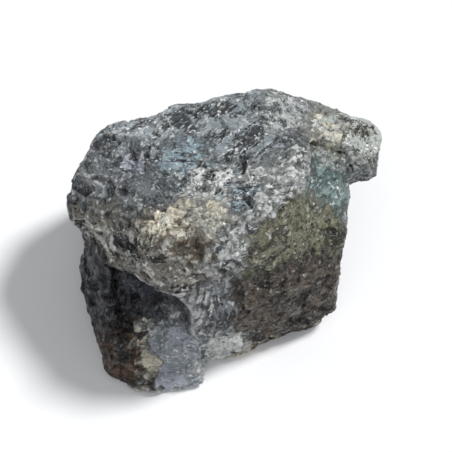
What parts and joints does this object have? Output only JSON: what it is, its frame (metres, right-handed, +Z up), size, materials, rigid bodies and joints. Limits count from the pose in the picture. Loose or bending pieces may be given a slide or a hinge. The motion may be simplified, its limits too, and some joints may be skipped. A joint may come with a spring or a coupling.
{
  "type": "rough labradorite chunk",
  "caption": "Rough, unpolished labradorite stone with a broad sloping top, broken sides and a flat underside to lie on.",
  "frame": {"origin": "middle of the bottom of the stone's bounding box, on the surface it lies on", "axes": "+Z up from the flat underside, +X along the longest side, -Y towards the front with the hollow under the brow"},
  "size_m": [0.045, 0.0402, 0.0262],
  "materials": {
    "stone": "rough broken feldspar, blue-grey with tan and cream patches and small glints"
  },
  "bodies": {
    "root": {"labradorite_chunk": "stone"}
  },
  "joints": []
}
